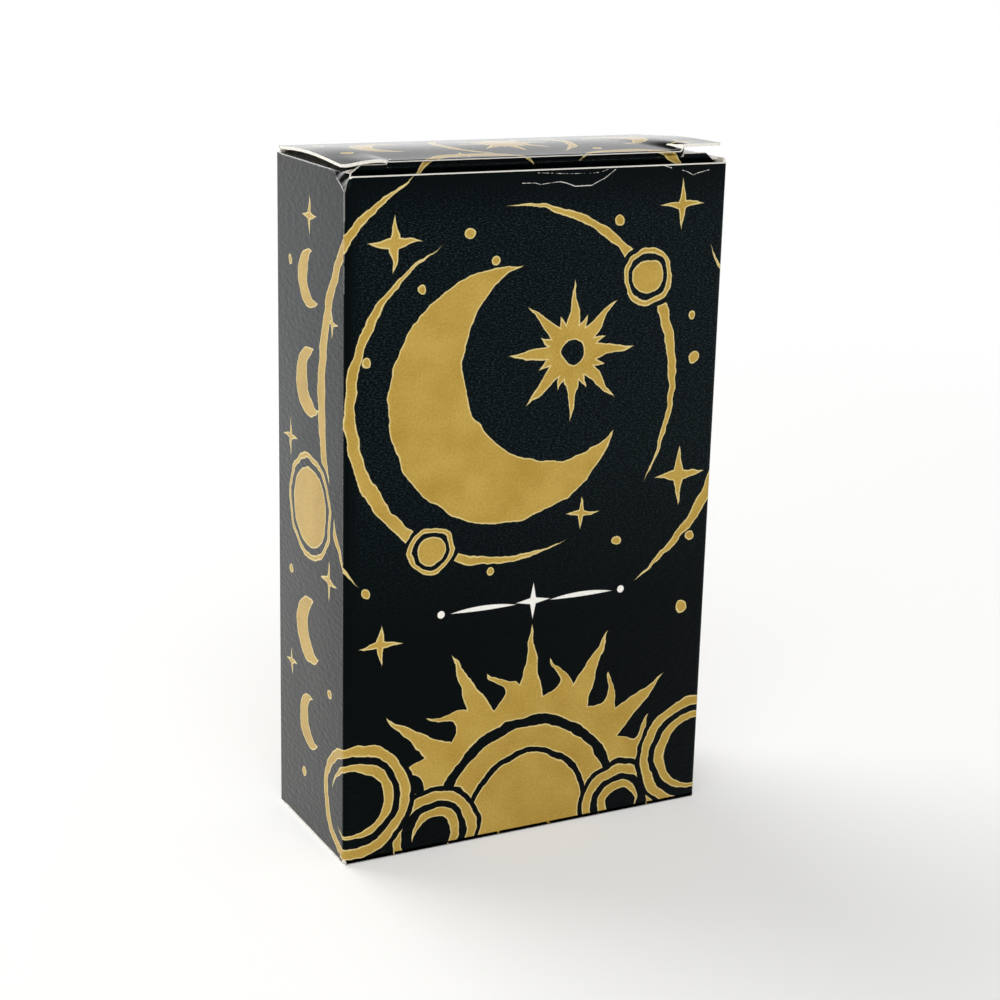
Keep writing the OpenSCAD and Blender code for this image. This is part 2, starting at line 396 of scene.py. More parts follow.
BACK_PRINT = [
    *ink(star(BACK_U, 62, 16, 28, 14), star(BACK_U, 62, 16, 22, 15, turn=90 + 180 / 16, sway=6, wave=9)),
    *clear(disc(BACK_U, 62, 15.5)),
    *ink(disc(BACK_U, 62, 13.5)),
    *clear(disc(BACK_U, 62, 9.6)),
    *ink(crescent(BACK_U, 62, 7.4, BACK_U + 3.2, 64, 5.8)),
    *ink(*(stroke(BACK_U, 62, 33, 2.2, middle, 38) for middle in (0, 90, 180, 270))),
    *ink(*(star(BACK_U + x, v, 8, 7, 2.4) for x in (-26, 26) for v in (14, 110))),
    *ink(crescent(BACK_U, 108, 8, BACK_U, 111.5, 6.6), crescent(BACK_U, 16, 8, BACK_U, 12.5, 6.6)),
    *sparkles((BACK_U, 112, 3), (BACK_U, 12, 3)),
    *sparkles(*((BACK_U + x, v, 3.4) for v in (86, 38) for x in (-28, 28))),
    *dots(*((BACK_U + x, v, 0.9) for x in (-16, 16) for v in (22, 30, 94, 102))),
]
LID_PRINT = [
    *ink(star(0, LID_MID, 8, 9, 3), star(0, LID_MID, 8, 5, 2.6, turn=112.5)),
    *ink(stroke(0, LID_MID, 12.5, 1.6, 180, 60), stroke(0, LID_MID, 12.5, 1.6, 0, 60)),
    *ink(crescent(-23, LID_MID, 6, -20.4, LID_MID + 1, 5), crescent(23, LID_MID, 6, 20.4, LID_MID + 1, 5)),
    *ink(stroke(-12, 40, 14, 2.4, -95, 55), stroke(17, 42, 15, 2.2, -80, 50)),
    *sparkles((-32, 7, 3), (32, 7, 3), (-13, 26, 2.6), (31, 25, 3.2)),
    *dots((-14, 5, 0.9), (14, 5, 0.9), (-32, 20, 0.9), (14, 24, 0.8)),
]
BOTTOM_PRINT = [
    *ink(star(0, LID_MID, 12, 11, 6)),
    *clear(disc(0, LID_MID, 6.2)),
    *ink(disc(0, LID_MID, 5)),
    *sparkles((-22, LID_MID, 4.5), (22, LID_MID, 4.5)),
    *dots((-31, LID_MID, 1.0), (31, LID_MID, 1.0), (-14, LID_MID, 0.9), (14, LID_MID, 0.9)),
]


# Materials

def material(name):
    """A new material and its empty tree."""
    made = bpy.data.materials.new(name)
    made.use_nodes = True
    made.node_tree.nodes.clear()
    return made, made.node_tree


def shade(tree, inputs):
    """Ends a material with its shader."""
    shader = add(tree, "ShaderNodeBsdfPrincipled", inputs)
    add(tree, "ShaderNodeOutputMaterial", {"Surface": shader})


def printed_board(name, layers, wear_and_painted_highlights=(), divider=(), peel=0.0):
    """Gloss laminated carton board, printed black and gold.

    The film mirrors its surroundings softly over the board's fine grain, whose pale flecks are painted
    glints, the print has hand-cut edges with a paler outline, and white board shows through the film along
    worn lines, partly as painted highlights.
    A worn line is (points, half width, share rubbed through, depth of the whitening), and some worn lines
    are in part painted highlights. The peel is the depth in mm of the film's waviness, which mottles what a
    wall mirrors at a slant.
    """
    made, tree = material(name)
    sheet = add(tree, "ShaderNodeAttribute", attribute_name="sheet").outputs["Vector"]
    # Hand-cut edges wander by about half a millimetre over four
    wander = add(tree, NOISE, {"Vector": sheet, "Scale": 0.25, "Detail": 3.0, "Roughness": 0.45})
    shift = add(tree, VECTOR, [wander.outputs["Color"], (0.5, 0.5, 0.5)], operation="SUBTRACT")
    place = add(tree, VECTOR, [shift, (1.8, 1.8, 0), sheet], operation="MULTIPLY_ADD")
    outside = add(tree, GROUP, {"Place": place}, node_tree=print_group(name, layers))
    gold = add(tree, RANGE, [outside, 0.05, -0.05])
    inner = add(tree, RANGE, [outside, -0.14, -0.28])
    # Ink lies unevenly: blotches of some 8 mm and specks of about 0.4 mm
    blotch = add(tree, NOISE, {"Vector": sheet, "Scale": 0.12, "Detail": 2.0})
    speck = add(tree, NOISE, {"Vector": sheet, "Scale": 2.4, "Detail": 2.0, "Roughness": 0.6})
    cloudy = add(tree, MATH, [blotch, speck], operation="ADD")
    tone = add(tree, RANGE, [cloudy, 0.75, 1.25])
    full_gold = add(tree, MIX, {"Factor": tone, "A": "#A98939", "B": "#BD9E4F"}, data_type="RGBA")
    edged_gold = add(tree, MIX, {"Factor": inner, "A": "#DAC688", "B": full_gold}, data_type="RGBA")
    # The board's grain runs across the sheet. Pale flecks of about 0.5 by 0.2 mm along it are painted
    # glints of the film, and they fade towards the foot, the front's left fold and its cut edge as a
    # painted darker reflection there
    grain_place = add(tree, VECTOR, [sheet, (2.0, 4.6, 0)], operation="MULTIPLY")
    grain = add(tree, NOISE, {"Vector": grain_place, "Scale": 1.0, "Detail": 3.0, "Roughness": 0.6})
    painted_glints = add(tree, RANGE, [grain, 0.5, 0.8])
    parts = add(tree, SPLIT, [sheet])
    past_fold = add(tree, MATH, [parts.outputs["X"], HALF_MM], operation="ADD")
    from_fold = add(tree, MATH, [past_fold], operation="ABSOLUTE")
    for value, none, all_of in (
        (parts.outputs["Y"], 42, 74),
        (parts.outputs["Y"], FRONT_MM - 1, FRONT_MM - 9),
        (from_fold, 0.8, 3.2),
    ):
        painted_glint_fade = add(tree, RANGE, [value, none, all_of])
        painted_glints = add(tree, MATH, [painted_glints, painted_glint_fade], operation="MULTIPLY")
    # The black ink takes the painted glints as a paler blue-grey
    black = add(tree, MIX, {"Factor": painted_glints, "A": "#010304", "B": "#2D3F45"}, data_type="RGBA")
    colour = add(tree, MIX, {"Factor": gold, "A": black, "B": edged_gold}, data_type="RGBA")
    if divider:
        white_out = add(tree, GROUP, {"Place": sheet}, node_tree=print_group(name + "_white", divider))
        white = add(tree, RANGE, [white_out, 0.05, -0.05])
        colour = add(tree, MIX, {"Factor": white, "A": colour, "B": "#EFEDE6"}, data_type="RGBA")
    # Fibres of white board show through in streaks of about a millimetre
    fibre = add(tree, NOISE, {"Vector": sheet, "Scale": 1.1, "Detail": 5.0, "Roughness": 0.7})
    bare = 0.0
    # Each line whitens the colour: worn board, and along the front's left fold and its wrinkles also a
    # painted highlight
    for points, half_width, share, depth in wear_and_painted_highlights:
        showing = add(tree, MATH, [fibre, share - 0.5], operation="ADD")
        for start, end in zip(points[:-1], points[1:]):
            line = {"Place": sheet, "Start": (*start, 0), "End": (*end, 0)}
            aside = add(tree, GROUP, line, node_tree=MOTIFS["line"])
            close = add(tree, RANGE, [aside, half_width, 0.3 * half_width])
            rubbed = add(tree, MATH, [close, showing], operation="MULTIPLY")
            worn = add(tree, RANGE, [rubbed, 0.3, 0.42, 0.0, depth])
            bare = add(tree, MATH, [bare, worn], operation="MAXIMUM")
    worn_and_highlit_colour = add(tree, MIX, {"Factor": bare, "A": colour, "B": "#E9E6DE"}, data_type="RGBA")
    film = add(tree, RANGE, [grain, 0.3, 0.7, 0.1, 0.2])
    rough = add(tree, MIX, {"Factor": bare, "A": film, "B": 0.8})
    relief = add(tree, BUMP, {"Height": grain, "Strength": 0.35, "Distance": 0.03 * MM})
    if peel:
        # Waves in the film of about 1.6 by 0.8 mm, along the grain
        wave_place = add(tree, VECTOR, [sheet, (0.6, 1.3, 0)], operation="MULTIPLY")
        waves = add(tree, NOISE, {"Vector": wave_place, "Scale": 1.0, "Detail": 1.0})
        relief = add(
            tree, BUMP, {"Height": waves, "Strength": 1.0, "Distance": peel * MM, "Normal": relief})
    # Polypropylene film over deep black ink: dim where it is faced, bright at a slant
    shade(tree, {
        "Base Color": worn_and_highlit_colour, "Roughness": rough, "Normal": relief,
        "IOR": 1.46, "Specular Tint": "#4A585C",
    })
    return made


def bare_board():
    """Uncoated inside of the carton board: matt off-white, with grey and brown fibres."""
    made, tree = material("uncoated_board")
    coords = add(tree, "ShaderNodeTexCoord").outputs["Object"]
    # Fibres of about 0.8 mm, and cloudiness of about 12 mm
    fibre = add(tree, NOISE, {"Vector": coords, "Scale": 1 / (0.8 * MM), "Detail": 5.0, "Roughness": 0.7})
    cloud = add(tree, NOISE, {"Vector": coords, "Scale": 1 / (12 * MM), "Detail": 2.0})
    mixed = add(tree, MATH, [fibre, cloud], operation="ADD")
    tone = add(tree, RANGE, [mixed, 0.7, 1.3])
    colour = add(tree, MIX, {"Factor": tone, "A": "#D8D2C4", "B": "#EFEBE1"}, data_type="RGBA")
    relief = add(tree, BUMP, {"Height": fibre, "Strength": 0.3, "Distance": 0.03 * MM})
    shade(tree, {
        "Base Color": colour, "Normal": relief, "Roughness": 0.85, "Specular IOR Level": 0.25,
    })
    return made


def cut_board():
    """Die-cut edge of the board: white and fibrous."""
    made, tree = material("cut_board_edge")
    coords = add(tree, "ShaderNodeTexCoord").outputs["Object"]
    # Torn fibres of about 0.25 mm
    fibre = add(tree, NOISE, {"Vector": coords, "Scale": 1 / (0.25 * MM), "Detail": 3.0})
    tone = add(tree, RANGE, [fibre, 0.3, 0.65])
    colour = add(tree, MIX, {"Factor": tone, "A": "#CFC9BC", "B": "#F6F4EE"}, data_type="RGBA")
    relief = add(tree, BUMP, {"Height": fibre, "Strength": 0.4, "Distance": 0.03 * MM})
    shade(tree, {
        "Base Color": colour, "Normal": relief, "Roughness": 0.9, "Specular IOR Level": 0.2,
    })
    return made


def card_stock():
    """Coated playing card stock: cream cut edges that differ a little from card to card, and a star emblem
    printed in brown on sepia faces and in gold on black backs."""
    made, tree = material("card_stock")
    coords = add(tree, "ShaderNodeTexCoord")
    lean = slope_of("major_arcana_00", 2, 1)
    first, last = (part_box(node)[0].y for node in ("major_arcana_00", "major_arcana_21"))
    pitch = (last - first) / 21
    normal = add(tree, SPLIT, [coords.outputs["Normal"]]).outputs["Y"]
    through = add(
        tree, VECTOR, [coords.outputs["Object"], (0, 1 / pitch, -math.tan(lean) / pitch)],
        operation="DOT_PRODUCT")
    count = add(tree, MATH, [through], operation="FLOOR")
    chance = add(tree, "ShaderNodeTexWhiteNoise", {"W": count}, noise_dimensions="1D")
    fibre = add(tree, NOISE, {"Vector": coords.outputs["Object"], "Scale": 1 / (0.3 * MM), "Detail": 3.0})
    edge_tone = add(tree, MATH, [chance, fibre], operation="MULTIPLY")
    edge = add(tree, MIX, {"Factor": edge_tone, "A": "#F2EDE1", "B": "#B9AC93"}, data_type="RGBA")
    parts = add(tree, SPLIT, [coords.outputs["Object"]])
    flat = add(tree, JOIN, {"X": parts.outputs["X"], "Y": parts.outputs["Z"]})
    sheet = add(tree, VECTOR, [flat, (1 / MM, 1 / MM, 0)], operation="MULTIPLY")
    emblem = [
        *ink(star(0, 61, 8, 22, 7), star(0, 61, 8, 13, 6, turn=112.5)),
        *clear(disc(0, 61, 5)),
        *ink(disc(0, 61, 3.6)),
        *ink(*(stroke(0, 61, 28, 1.6, middle, 36) for middle in (45, 135, 225, 315))),
        *sparkles(*((x, v, 5) for x in (-24, 24) for v in (16, 106))),
    ]
    outside = add(tree, GROUP, {"Place": sheet}, node_tree=print_group("card_emblem", emblem))
    inked = add(tree, RANGE, [outside, 0.05, -0.05])
    face = add(tree, MIX, {"Factor": inked, "A": "#E6D5B8", "B": "#8A6440"}, data_type="RGBA")
    back = add(tree, MIX, {"Factor": inked, "A": "#131417", "B": "#B99A4C"}, data_type="RGBA")
    is_back = add(tree, MATH, [normal, 0.0], operation="GREATER_THAN")
    flatness = add(tree, MATH, [normal], operation="ABSOLUTE")
    is_side = add(tree, MATH, [flatness, 0.7], operation="GREATER_THAN")
    printed = add(tree, MIX, {"Factor": is_back, "A": face, "B": back}, data_type="RGBA")
    colour = add(tree, MIX, {"Factor": is_side, "A": edge, "B": printed}, data_type="RGBA")
    rough = add(tree, MIX, {"Factor": is_side, "A": 0.85, "B": 0.4})
    relief = add(tree, BUMP, {"Height": fibre, "Strength": 0.15, "Distance": 0.02 * MM})
    shade(tree, {"Base Color": colour, "Roughness": rough, "Normal": relief})
    return made


# Small creases under the front's cut edge: their height in mm, the share of their line painted white as
# broken film and as painted highlight, and their path across and up from that edge
WRINKLES = [
    (0.05, 0.4, [(-4.3, -2.2), (-1.8, -2.25), (-0.8, -2.55), (0.6, -2.4), (2.95, -2.2)]),
    (0.06, 0.62, [(2.95, -2.2), (4.2, -2.45), (6.0, -3.1), (9.3, -3.05)]),
    (0.05, 0.44, [(9.3, -3.05), (10.7, -2.4), (11.9, -1.9), (14.0, -0.45)]),
    (-0.04, 0.32, [(-1.3, -0.55), (2.3, -0.75), (4.4, -0.9), (9.2, -0.97), (11.1, -0.87), (13.5, -0.1)]),
    (0.04, 0.42, [(27.7, -1.1), (28.8, -1.4), (29.9, -2.0), (30.8, -1.7), (33.2, -1.2)]),
    (0.04, 0.5, [(24.0, -0.2), (25.4, -0.6)]),
]
# Line of the dent in the left wall's front corner, across and up the sheet
DENT = [(-42.6, SIDE_TOP / MM), (-HALF_MM, FRONT_MM - 2.6)]
# Depth in mm of the waves in the walls' film; the lid's film is drawn smooth over its arch
FILM_PEEL = 0.08


def level(v):
    """A worn line across the whole width of a panel."""
    return [(-HALF_MM, v), (HALF_MM, v)]


bare = bare_board()
cut_edge = cut_board()
front_finish = printed_board(
    "front_print", FRONT_PRINT,
    wear_and_painted_highlights=[
        # Up the upper left fold: worn board, and in part a painted highlight of the rounded fold
        ([(-HALF_MM, 104), (-HALF_MM, 116)], 0.16, 0.45, 0.15),
        ([(-HALF_MM, 116), (-HALF_MM, FRONT_MM)], 0.18, 0.7, 0.25),
        ([(HALF_MM, 0), (HALF_MM, FRONT_MM)], 0.3, 0.2, 1.0),
        (level(0), 0.4, 0.25, 1.0),
        (level(FRONT_MM), 0.25, 0.9, 0.9),
        ([(-HALF_MM, 0), (-HALF_MM + 0.3, 0.3)], 0.9, 0.6, 1.0),
        # White lines along the wrinkles: broken film, and in part painted highlights
        *(([(u, FRONT_MM + v) for u, v in line], 0.12, cracked_and_highlit_share, 0.75) for _, cracked_and_highlit_share, line in WRINKLES),
    ],
    divider=DIVIDER_PRINT, peel=FILM_PEEL)
left_finish = printed_board(
    "left_side_print", side_print(-1, LEFT_CLOUD), wear_and_painted_highlights=[(DENT, 0.16, 0.6, 0.5)], peel=FILM_PEEL)
right_finish = printed_board("right_side_print", side_print(1, RIGHT_CLOUD), peel=FILM_PEEL)
back_finish = printed_board(
    "back_print", BACK_PRINT,
    wear_and_painted_highlights=[([(BACK_U - 40, HEIGHT / MM), (BACK_U + 40, HEIGHT / MM)], 0.5, 0.3, 1.0)], peel=FILM_PEEL)
lid_finish = printed_board(
    "lid_print", LID_PRINT,
    wear_and_painted_highlights=[
        (level(TUCK_MM), 0.34, 0.95, 1.0),
        (level(0), 0.4, 0.3, 1.0),
        ([(SLIT_X / MM, TUCK_MM), (SLIT_X / MM - 0.7, TUCK_MM - 4.5)], 0.5, 0.7, 1.0),
        ([(-SLIT_X / MM, TUCK_MM), (-SLIT_X / MM + 1.2, TUCK_MM - 1.6)], 0.25, 0.6, 0.8),
    ])
bottom_finish = printed_board("bottom_print", BOTTOM_PRINT, wear_and_painted_highlights=[(level(TUCK_MM), 0.45, 0.6, 1.0)])
# The dust flaps are plain black: their one motif lies off the board
dust_finish = printed_board(
    "dust_print", sparkles((0, 400, 1)), wear_and_painted_highlights=[(level(0), 0.15, 0.45, 0.08)], peel=FILM_PEEL)
cards_finish = card_stock()


# Board modelling

def select_only(piece):
    """Leaves one piece selected and active."""
    bpy.ops.object.select_all(action="DESELECT")
    piece.select_set(True)
    bpy.context.view_layer.objects.active = piece


@contextmanager
def editing(piece):
    """Opens one piece in edit mode for a while."""
    select_only(piece)
    bpy.ops.object.mode_set(mode="EDIT")
    yield
    bpy.ops.object.mode_set(mode="OBJECT")


def choose(piece, kind, test):
    """In edit mode, selects the edges or faces whose middle passes a test."""
    bpy.ops.mesh.select_mode(type=kind)
    bpy.ops.mesh.select_all(action="DESELECT")
    mesh = bmesh.from_edit_mesh(piece.data)
    for part in {"EDGE": mesh.edges, "FACE": mesh.faces}[kind]:
        corners = [corner.co for corner in part.verts]
        part.select_set(test(sum(corners, Vector()) / len(corners)))
    bmesh.update_edit_mesh(piece.data)


def flat_board(name, low, high, cell=CELL):
    """A flat grid for one board, with its outer side up, in its own plane."""
    bpy.ops.object.select_all(action="DESELECT")
    width, length = high[0] - low[0], high[1] - low[1]
    bpy.ops.mesh.primitive_grid_add(
        x_subdivisions=max(2, round(width / cell)), y_subdivisions=max(2, round(length / cell)),
        size=1, location=((low[0] + high[0]) / 2, (low[1] + high[1]) / 2, 0))
    piece = bpy.context.object
    piece.name = piece.data.name = name
    piece.scale = (width, length, 1)
    bpy.ops.object.transform_apply()
    return piece


def cut(piece, lines):
    """Cuts the flat sheet along lines, each a point and the direction of its waste."""
    with editing(piece):
        for point, waste in lines:
            bpy.ops.mesh.select_all(action="SELECT")
            bpy.ops.mesh.bisect(
                plane_co=(*point, 0), plane_no=(*Vector(waste).normalized(), 0), clear_outer=True)


def rounded(first, second, radius, steps=6):
    """Lines that round the corner between two cut lines."""
    normals = [Vector(line[1]).normalized() for line in (first, second)]
    depths = [Vector(line[0]).dot(normal) - radius for line, normal in zip((first, second), normals)]
    across = normals[0].x * normals[1].y - normals[0].y * normals[1].x
    middle = Vector((
        (depths[0] * normals[1].y - depths[1] * normals[0].y) / across,
        (depths[1] * normals[0].x - depths[0] * normals[1].x) / across))
    wastes = [normals[0].slerp(normals[1], step / steps) for step in range(1, steps)]
    return [(middle + radius * waste, waste) for waste in wastes]


def notch(piece, low, high):
    """Cuts a rectangle out of the flat sheet."""
    with editing(piece):
        for point in (low, high):
            for across in ((1, 0, 0), (0, 1, 0)):
                bpy.ops.mesh.select_all(action="SELECT")
                bpy.ops.mesh.bisect(plane_co=(*point, 0), plane_no=across)
        choose(piece, "FACE", lambda at: low[0] < at.x < high[0] and low[1] < at.y < high[1])
        bpy.ops.mesh.delete(type="FACE")


def refine(piece, depths, depth_of):
    """Splits the faces that lie within a depth, for one depth after the other."""
    with editing(piece):
        for depth in depths:
            choose(piece, "FACE", lambda at: depth_of(at) < depth)
            bpy.ops.mesh.subdivide(number_cuts=1)


def thicken(piece, finish):
    """Gives the sheet the board's thickness on its inner side, with its three finishes."""
    for each in (finish, bare, cut_edge):
        piece.data.materials.append(each)
    select_only(piece)
    wall = piece.modifiers.new("board", "SOLIDIFY")
    wall.thickness = BOARD
    wall.offset = -1
    wall.use_even_offset = True
    wall.material_offset = INSIDE
    wall.material_offset_rim = EDGE
    bpy.ops.object.modifier_apply(modifier=wall.name)


def round_fold(piece, on_fold, radius=FOLD_R):
    """Rounds the outer edges that lie on a fold, and prints what the fold leaves of the cut edge."""
    with editing(piece):
        choose(piece, "EDGE", lambda at: abs(at.z) < TINY and on_fold(at))
        bpy.ops.mesh.bevel(offset=radius, segments=4, profile=0.5, affect="EDGES", material=PRINT)
        choose(piece, "FACE", on_fold)
        piece.active_material_index = PRINT
        bpy.ops.object.material_slot_assign()


def mark_sheet(piece, unfold):
    """Keeps each point's place on the unfolded sheet in millimetres, for the print."""
    points = np.array([point.co for point in piece.data.vertices]) / MM
    u, v = unfold(*points.T)
    places = np.stack([u, v, np.zeros(len(points))], axis=1)
    sheet = piece.data.attributes.new("sheet", "FLOAT_VECTOR", "POINT")
    sheet.data.foreach_set("vector", places.astype(np.float32).ravel())


def move(piece, matrix):
    """Moves a piece, with its new place in its mesh."""
    piece.matrix_world = matrix
    select_only(piece)
    bpy.ops.object.transform_apply()


def press(piece, field):
    """Moves the points of a piece by a field of small shifts."""
    points = np.array([point.co for point in piece.data.vertices])
    piece.data.vertices.foreach_set("co", (points + field(points)).astype(np.float32).ravel())
    piece.data.update()


# The closures are modelled at the top; the bottom is the same turned end for end
TURNS = {
    "top": Matrix.Identity(4),
    "bottom": Matrix.Translation((0, 0, HEIGHT)) @ Matrix.Rotation(math.pi, 4, "X"),
}
CLOSERS = {"top": "lid", "bottom": "bottom"}


def stand(piece, end, across, up, corner, field):
    """Turns a flat board to run along across and up, bends it, and takes it to its end of the carton."""
    across, up = Vector(across), Vector(up)
    turned = Matrix((across, up, across.cross(up))).transposed().to_4x4()
    move(piece, Matrix.Translation(corner) @ turned)
    press(piece, field)
    move(piece, TURNS[end])
    bpy.ops.object.shade_smooth_by_angle(angle=SMOOTH_ANGLE)


def hand_over(piece, body, node):
    """Lets a finished board ride in place of its solid."""
    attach(piece, body)
    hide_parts(node)


# How the board has bent in use, as shifts in metres

def no_shift(points):
    return np.zeros_like(points)


def smooth(share):
    """From 0 to 1, level at both ends."""
    share = np.clip(share, 0, 1)
    return share * share * (3 - 2 * share)


def ripple(a, b):
    """Faint waves of laminated board, some 20 to 50 mm long, between -1 and 1."""
    a, b = a / MM, b / MM
    slow = np.sin(math.tau * (a + 0.3 * b) / 53 + 0.4) * np.cos(math.tau * (b - 0.2 * a) / 61 + 1.1)
    quick = np.sin(math.tau * (a * 0.8 - b * 0.6) / 24 + 2.0) * np.cos(math.tau * (a * 0.5 + b) / 29)
    return 0.6 * slow + 0.4 * quick


def arch_of_lid(share):
    """Rise of the lid's middle, by the share of the way from its hinge to its tuck crease."""
    return LID_ARCH * np.sin(math.pi * np.clip(share, 0, 1) ** 0.92) ** 1.4


def lift_of_lid(points):
    """The lid arches. Past its slits the left end is raised, and the right corner curls up."""
    x, y, _ = points.T
    share = np.clip((HALF_D - y) / TUCK_V, 0, 1)
    wave = LID_WAVES * ripple(x, y) * np.sin(math.pi * share)
    # The left end rises within 2 mm of its slit, and falls again over 4.5 mm to the wall
    past_left = smooth((-x - SLIT_X + 0.5 * MM) / (2 * MM)) * smooth((HALF_W + x) / (4.5 * MM))
    raised = LID_LEFT_RISE * past_left * smooth((share - 0.7) / 0.3)
    # The right corner bends sharply beside its slit, and along a slant of 14 mm behind it ever more softly
    fold = SLIT_X - 0.4 * MM - 14 * MM * (1 - share)
    past_right = smooth((x - fold) / (0.5 * MM + 20 * MM * (1 - share)))
    curl = LID_RIGHT_CURL * past_right * np.clip((share - 0.25) / 0.75, 0, 1) ** 1.3
    # The raised tuck crease comes down over 8 mm to the left wall
    gape = LID_GAPE * smooth(share) * smooth((HALF_W + x) / (8 * MM))
    return np.stack([0 * x, 0 * x, arch_of_lid(share) + wave + raised + curl + gape], axis=1)


def lift_of_tuck(points):
    """The tuck flap hangs from the raised crease of the lid."""
    return no_shift(points) + (0, 0, LID_GAPE)


def spring_of_dust(points):
    """The left dust flap rises from its crease to just under the arched lid, and the right one a little."""
    x, y, _ = points.T
    inwards = HALF_W - np.abs(x)
    under_lid = HEIGHT - BOARD - DUST_ROOM + arch_of_lid((HALF_D - y) / TUCK_V)
    room = under_lid - SIDE_TOP - inwards * math.sin(DUST_SPRING)
    behind_edge = 0.3 + 0.7 * smooth((y - dust_low.y) / (5 * MM))
    kept = np.where(x < 0, behind_edge, 0.2)
    return crumple(points) + np.stack([0 * x, 0 * x, room * kept * smooth(inwards / (3 * MM))], axis=1)


def bow_of_wall(across, along, half_width, low, high, bulge):
    """How far a wall bows out between its edges, with faint waves."""
    inside = np.clip(1 - (across / half_width) ** 2, 0, 1)
    height = np.clip((along - low) / (high - low), 0, 1)
    fade = inside * np.sin(math.pi * height)
    return fade * (bulge + WALL_WAVES * ripple(across, along))


def crumple(points):
    """The dent in the left wall's front corner: a flat facet beyond its line, shared by both walls."""
    x, y, z = points.T
    sheet = np.stack([np.minimum(-HALF_W - (y + HALF_D), -HALF_W), z], axis=1)
    start, end = np.array(DENT) * MM
    run = (end - start) / np.linalg.norm(end - start)
    past = np.maximum((sheet - start) @ np.array([-run[1], run[0]]), 0)
    inwards = 0.45 * past * smooth(1 - (x + HALF_W) / (1.6 * MM))
    pucker = 1 + 0.2 * np.sin(2.1 * (y + z) / MM)
    return np.stack([inwards * pucker, 0.35 * inwards, -0.25 * inwards], axis=1)


def wrinkle(points):
    """Small creases under the front panel's cut edge, as heights in metres."""
    flat = np.stack([points[:, 0], points[:, 2] - FRONT_TOP], axis=1) / MM
    height = np.zeros(len(points))
    for ridge, _, line in WRINKLES:
        nearest = np.full(len(points), np.inf)
        for start, end in zip(np.array(line[:-1]), np.array(line[1:])):
            run = end - start
            share = np.clip((flat - start) @ run / (run @ run), 0, 1)
            nearest = np.minimum(nearest, np.linalg.norm(flat - start - share[:, None] * run, axis=1))
        height += ridge * MM * np.exp(-(nearest / 0.3) ** 2)
    return height


def bend_front(points):
    out = bow_of_wall(points[:, 0], points[:, 2], HALF_W, CREASE, FRONT_TOP, FRONT_BOW) + wrinkle(points)
    shift = crumple(points)
    shift[:, 1] -= out
    return shift


def bend_side(points):
    out = bow_of_wall(points[:, 1], points[:, 2], HALF_D, FOOT + CREASE, SIDE_TOP - CREASE, SIDE_BOW)
    shift = crumple(points)
    shift[:, 0] += np.sign(points[:, 0]) * out
    return shift


def bend_back(points):
    out = bow_of_wall(points[:, 0], points[:, 2], HALF_W, 0, HEIGHT - CREASE, BACK_BOW)
    return np.stack([0 * out, out, 0 * out], axis=1)


# The walls

def front_board():
    piece = flat_board("front_board", (-HALF_W, CREASE), (HALF_W, FRONT_TOP))
    refine(piece, (9 * MM, 5 * MM), lambda at: FRONT_TOP - at.y)
    thicken(piece, front_finish)
    round_fold(piece, lambda at: abs(abs(at.x) - HALF_W) < TINY)
    mark_sheet(piece, lambda x, y, z: (x, y))
    stand(piece, "top", (1, 0, 0), (0, 0, 1), (0, -HALF_D, 0), bend_front)
    hand_over(piece, "sleeve", "front_panel")


def back_board():
    low, high = (-back_high.x, back_low.z), (-back_low.x, HEIGHT - CREASE)
    piece = flat_board("back_board", low, high, 1.5 * CELL)
    thicken(piece, back_finish)
    round_fold(piece, lambda at: abs(at.x + HALF_W) < TINY or abs(at.x + back_low.x) < TINY)
    mark_sheet(piece, lambda x, y, z: (x + BACK_U, y))
    stand(piece, "top", (-1, 0, 0), (0, 0, 1), (0, HALF_D, 0), bend_back)
    hand_over(piece, "sleeve", "back_panel")


def side_board(side, finish):
    """A side wall, notched at both ends where the dust flaps' creases take over."""
    name = "left_side" if side < 0 else "right_side"
    low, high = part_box(name + "_panel")
    starts, ends = sorted((side * low.y, side * high.y))
    piece = flat_board(name + "_board", (starts, low.z), (ends, high.z))
    for way, edge in ((side, high.z), (-side, low.z)):
        start, end = sorted((way * dust_low.y, way * dust_high.y))
        notch(piece, (start, edge - CREASE), (end, edge + CREASE))
    if side < 0:
        refine(piece, (9 * MM, 8 * MM), lambda at: max(HALF_D - at.x, SIDE_TOP - at.y))
    thicken(piece, finish)
    mark_sheet(piece, lambda x, y, z: (x + side * SIDE_U, y))
    stand(piece, "top", (0, side, 0), (0, 0, 1), (side * HALF_W, 0, 0), bend_side)
    hand_over(piece, "sleeve", name + "_panel")


# The closures

def closing_board(end, finish, field):
    """The lid or the bottom, cut back between its slits where the tuck crease takes over."""
    half = lid_high.x
    piece = flat_board(CLOSERS[end] + "_board", (-half, TUCK_Y), (half, HALF_D - CREASE), 0.8 * CELL)
    front_edge = ((0, TUCK_Y), (0, -1))
    ends = [((side * half, 0), (side, 0)) for side in (-1, 1)]
    cut(piece, [line for each in ends for line in rounded(front_edge, each, LID_CORNER)])
    notch(piece, (-SLIT_X, TUCK_Y - CREASE), (SLIT_X, TUCK_Y + CREASE))
    thicken(piece, finish)
    mark_sheet(piece, lambda x, y, z: (x, HALF_D / MM - y))
    stand(piece, end, (1, 0, 0), (0, 1, 0), (0, 0, HEIGHT), field)
    hand_over(piece, CLOSERS[end], CLOSERS[end] + "_panel")


